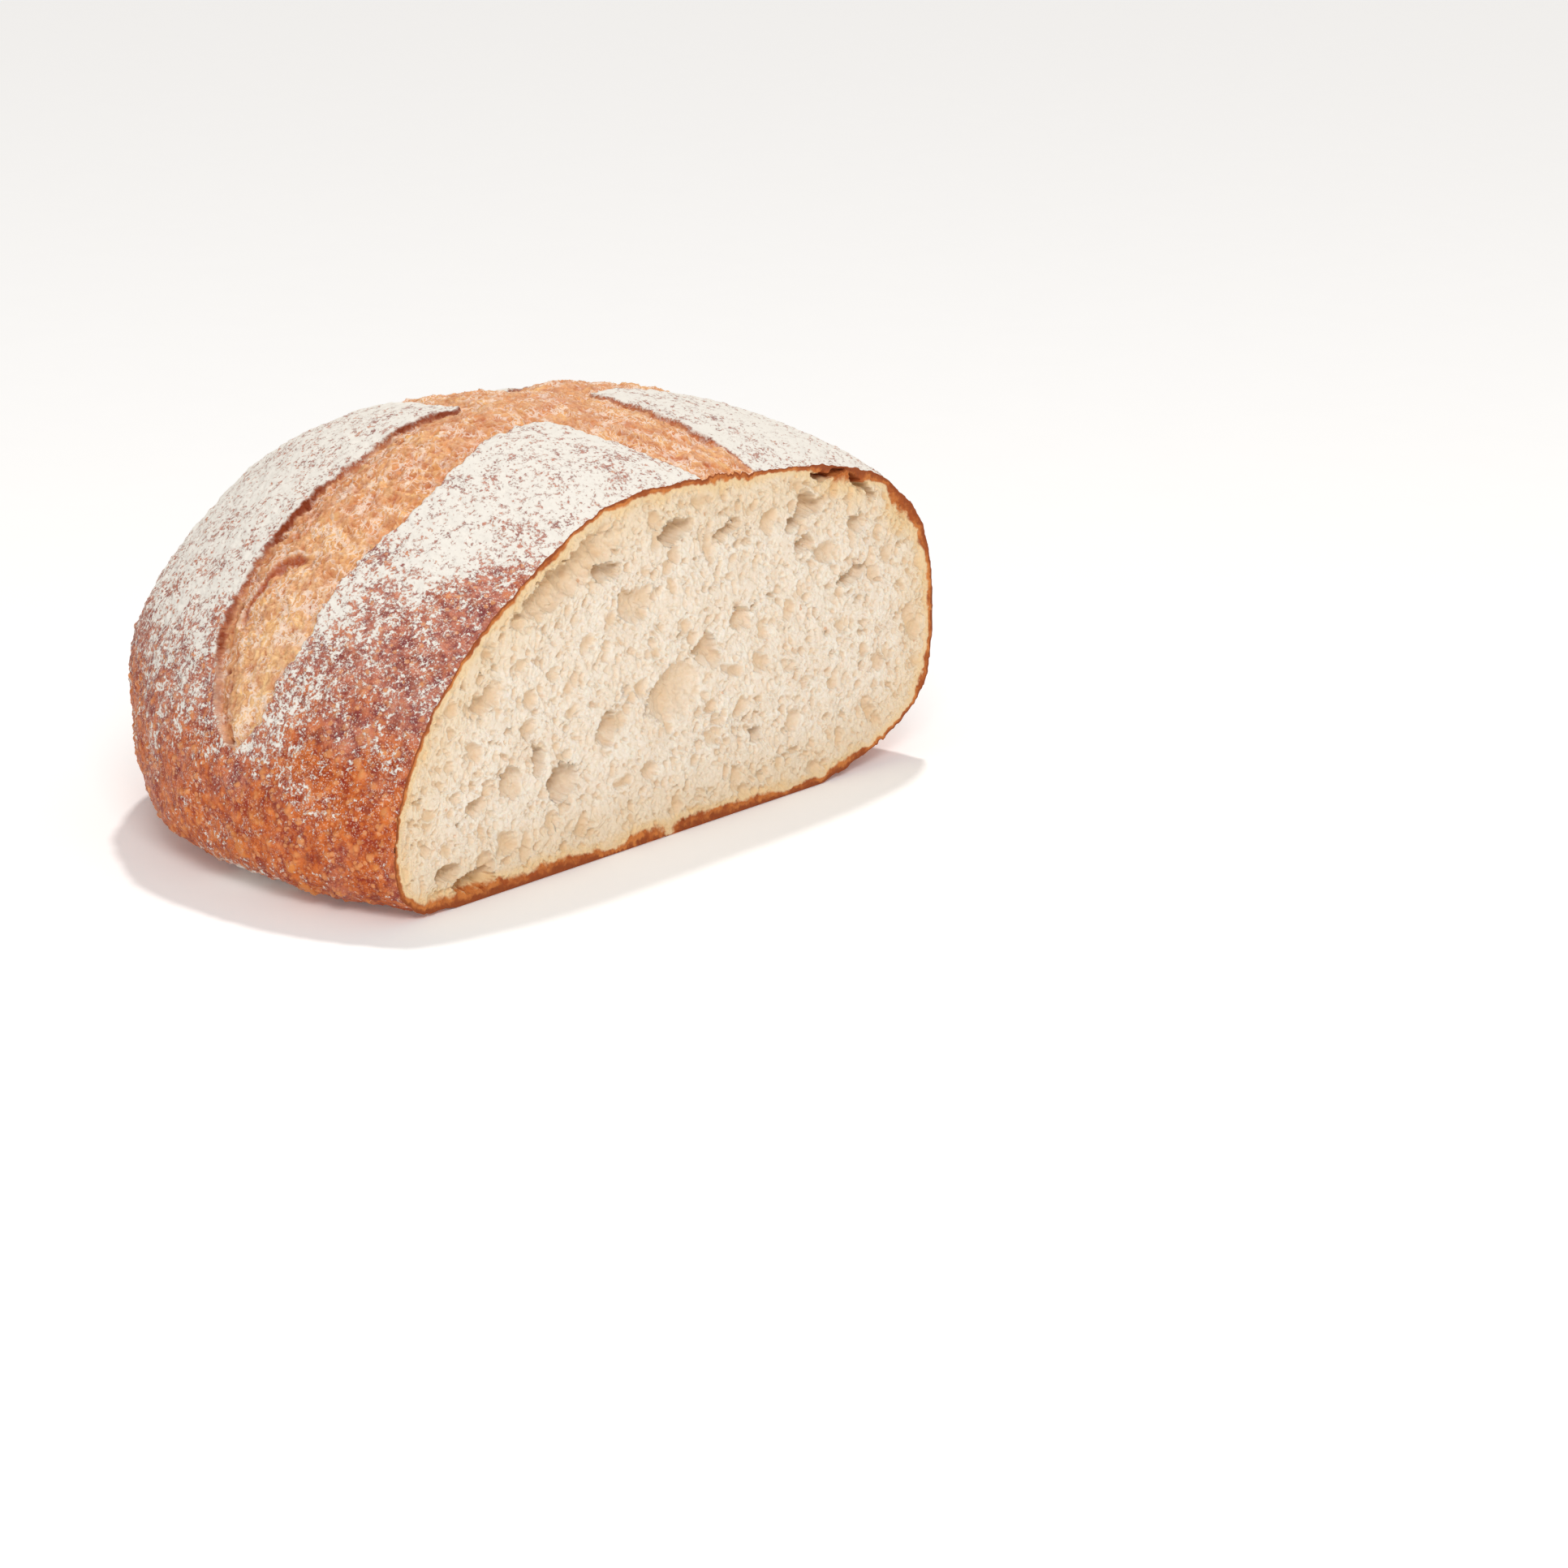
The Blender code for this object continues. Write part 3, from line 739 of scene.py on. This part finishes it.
# skin with its marks, then dust and flour, then the opened crust by the slash mask
def makeCrustMaterial():
    material, n, shader, at = newMaterial("baked_crust", 0.72)
    shader.inputs["Specular IOR Level"].default_value = 0.3
    skinTone = useGroup(n, makeSkinGroup(), Vector=at, Bake=n.mask("bake"),
                        Height=n.mask("high"))["Color"]
    slashTone = useGroup(n, makeSlashGroup(), Vector=at, Run=n.mask("run"), Over=n.mask("over"),
                         Fibre=n.mask("fibreAndHighlight"), Pale=n.mask("pale"), Rind=n.mask("rind"))["Color"]
    flour = useGroup(n, makeFlourGroup(), Vector=at, Density=n.mask("flour"))

    tone = n.blend(n.math("MULTIPLY", n.mask("blister"), 0.72), skinTone, crustTones["blister"])
    tone = n.blend(n.math("MULTIPLY", n.mask("flake"), 0.7), tone, crustTones["flake"])
    # painted shade just inside the crescent tear
    slashTone = n.blend(n.math("MULTIPLY", n.mask("tearAndShade"), 0.8), slashTone, crustTones["tearAndShade"])
    # painted shade inside the pores
    slashTone = n.blend(n.math("MULTIPLY", n.mask("poreAndShade"), 0.8), slashTone, crustTones["poreAndShade"])
    slashTone = n.blend(n.math("MULTIPLY", n.mask("tearEdge"), 0.6), slashTone, crustTones["tearEdge"])
    tone = n.blend(n.math("MULTIPLY", flour["Dust"], 0.50), tone, crustTones["dust"])
    tone = n.blend(flour["Cover"], tone, crustTones["flour"])
    tone = n.blend(n.mask("slash"), tone, slashTone)
    tone = n.blend(n.math("MULTIPLY", n.mask("film"), 0.5, clamp=True), tone, crustTones["film"])
    # dark band under the slash lip: partly browned edge, partly painted shadow cast by the lip
    tone = n.blend(n.math("MULTIPLY", n.mask("charredAndShadow"), 0.95, clamp=True), tone, crustTones["charredAndShadow"])
    n.tree.links.new(tone, shader.inputs["Base Color"])
    n.tree.links.new(n.ramp(flour["Cover"], 0.0, 1.0, 0.58, 0.95), shader.inputs["Roughness"])
    lift = n.math("ADD", n.math("MULTIPLY", flour["Cover"], 0.55),
                  n.math("MULTIPLY", n.noise(at, 950.0, 4.0, 0.65), 0.8))
    bump = n.add("ShaderNodeBump", {"Height": lift, "Strength": 0.6, "Distance": 0.0005})
    n.tree.links.new(bump.outputs["Normal"], shader.inputs["Normal"])
    return material


# pale crumb, with painted shade in its bubbles and holes, darker towards the rim, inside a thin line of
# crust
def makeCrumbMaterial():
    material, n, shader, at = newMaterial("crumb", 0.85)
    shader.inputs["Specular IOR Level"].default_value = 0.25
    jitter = n.math("MULTIPLY", n.math("SUBTRACT", n.noise(at, 330.0, 4.0, 0.6), 0.5), 1.3)
    gap = n.math("ADD", n.mask("rim"), jitter)
    soft = n.ramp(n.noise(at, 120.0, 5.0, 0.65), 0.3, 0.7)
    tone = n.blend(soft, crumbTones["soft"], crumbTones["cream"])
    fuzz = n.ramp(n.noise(at, 760.0, 5.0, 0.72), 0.30, 0.62)
    tone = n.blend(n.math("MULTIPLY", n.math("SUBTRACT", 1.0, fuzz), 0.45), tone, crumbTones["fuzz"])
    tone = n.blend(n.ramp(n.mask("inward"), 24.0, 3.0, 0.0, 0.6), tone, crumbTones["nearRim"])
    # painted shade in the bubbles and holes
    tone = n.blend(n.math("MULTIPLY", n.mask("holeShade"), 0.62), tone, crumbTones["holeShade"])
    tone = n.blend(n.math("MULTIPLY", n.spots(at, 250.0, 0.20, 0.10, 0.85), 0.6), tone, crumbTones["bran"])
    tone = n.blend(n.math("MULTIPLY", n.ramp(gap, 3.6, 1.0), 0.7), tone, crumbTones["underCrust"])
    crustShare = n.ramp(n.noise(at, 180.0, 4.0, 0.6), 0.35, 0.65)
    crustTone = n.blend(crustShare, crumbTones["crust"], crumbTones["crustDark"])
    tone = n.blend(n.ramp(gap, 1.30, 0.80), tone, crustTone)
    tone = n.blend(n.ramp(gap, 0.60, 0.2), tone, crumbTones["edge"])
    n.tree.links.new(tone, shader.inputs["Base Color"])
    shader.inputs["Subsurface Weight"].default_value = 0.15
    shader.inputs["Subsurface Radius"].default_value = (1.0, 0.65, 0.4)
    shader.inputs["Subsurface Scale"].default_value = 0.002
    bump = n.add("ShaderNodeBump", {"Height": n.noise(at, 1000.0, 5.0, 0.7), "Strength": 0.5,
                                    "Distance": 0.0005})
    n.tree.links.new(bump.outputs["Normal"], shader.inputs["Normal"])
    return material


# lights, world and floor: strengths, turns and rises in degrees, and the floor in metres,
# sunk a little so that it stays clear of the flat base
studio = {
    "sun": 1.32, "sunTurn": 122.0, "sunRise": 62.0, "sunSoft": 4.0,
    "fill": 20.0, "fillTurn": -42.0, "fillRise": 38.0, "fillAway": 2.2, "fillSize": 0.8,
    "world": 0.42, "floorGlow": 0.09, "floorHalf": 12.0, "floorDrop": 0.0002,
}


def makeFloor():
    material, n, shader, at = newMaterial("pale_floor", 0.9)
    tone = n.blend(n.noise(at, 30.0, 3.0), rgb(252, 251, 250), rgb(254, 253, 252))
    n.tree.links.new(tone, shader.inputs["Base Color"])
    shader.inputs["Emission Color"].default_value = (1.0, 1.0, 1.0, 1.0)
    shader.inputs["Emission Strength"].default_value = studio["floorGlow"]
    mesh = bpy.data.meshes.new("floor")
    size = studio["floorHalf"]
    mesh.from_pydata([(-size, -size, 0.0), (size, -size, 0.0), (size, size, 0.0), (-size, size, 0.0)],
                     [], [(0, 1, 2, 3)])
    mesh.materials.append(material)
    floor = bpy.data.objects.new("floor", mesh)
    bpy.context.scene.collection.objects.link(floor)
    floor.location.z = -studio["floorDrop"]


cameraView = {"azimuth": -51.0, "elevation": 15.80, "distance": 1.0650, "lens": 85.0,
              "right": 0.0343, "up": 0.01516}


# camera looking at the section's foot, then slid right and up without turning
def makeCamera():
    c = cameraView
    azimuth, elevation = math.radians(c["azimuth"]), math.radians(c["elevation"])
    back = Vector((math.sin(azimuth) * math.cos(elevation),
                   -math.cos(azimuth) * math.cos(elevation), math.sin(elevation)))
    right = Vector((math.cos(azimuth), math.sin(azimuth), 0.0))
    up = back.cross(right)
    data = bpy.data.cameras.new("camera")
    data.lens = c["lens"]
    data.sensor_width = 36.0
    data.clip_start = 0.01
    data.clip_end = 40.0
    camera = bpy.data.objects.new("camera", data)
    place = right * c["right"] + up * c["up"] + back * c["distance"]
    place += Vector((shiftX, shiftY, 0.0))
    turn = Matrix((right, up, back)).transposed().to_4x4()
    camera.matrix_world = Matrix.Translation(place) @ turn
    bpy.context.scene.collection.objects.link(camera)
    bpy.context.scene.camera = camera


# light that looks at the origin from a turn around it and a rise above the floor
def aimedLight(name, kind, energy, azimuth, elevation, distance=2.0, size=1.0, color=(1, 1, 1)):
    data = bpy.data.lights.new(name, kind)
    data.energy = energy
    data.color = color
    if kind == "AREA":
        data.size = size
    else:
        data.angle = math.radians(size)
    azimuth, elevation = math.radians(azimuth), math.radians(elevation)
    away = Vector((math.sin(azimuth) * math.cos(elevation),
                   -math.cos(azimuth) * math.cos(elevation), math.sin(elevation)))
    light = bpy.data.objects.new(name, data)
    aim = away.to_track_quat("Z", "Y").to_matrix().to_4x4()
    light.matrix_world = Matrix.Translation(away * distance) @ aim
    bpy.context.scene.collection.objects.link(light)


# azimuth 0 is in front of the cut face, 90 to its right, 180 behind the loaf
def makeLights():
    s = studio
    aimedLight("key", "SUN", s["sun"], s["sunTurn"], s["sunRise"], size=s["sunSoft"],
               color=(1.0, 0.98, 0.95))
    aimedLight("fill", "AREA", s["fill"], s["fillTurn"], s["fillRise"], distance=s["fillAway"],
               size=s["fillSize"])
    world = bpy.data.worlds.new("studio")
    bpy.context.scene.world = world
    world.use_nodes = True
    background = world.node_tree.nodes["Background"]
    background.inputs["Color"].default_value = (1.0, 0.99, 0.98, 1.0)
    background.inputs["Strength"].default_value = s["world"]


makeCamera()
makeLights()
makeFloor()
print("camera, lights and floor placed")
columnTurn, rim = makeCrust(makeCrustMaterial())
print("crust done")
makeCrumb(columnTurn, rim, makeCrumbMaterial())
print("crumb done")

view = bpy.context.scene.view_settings
view.view_transform = "Standard"
view.look = "None"
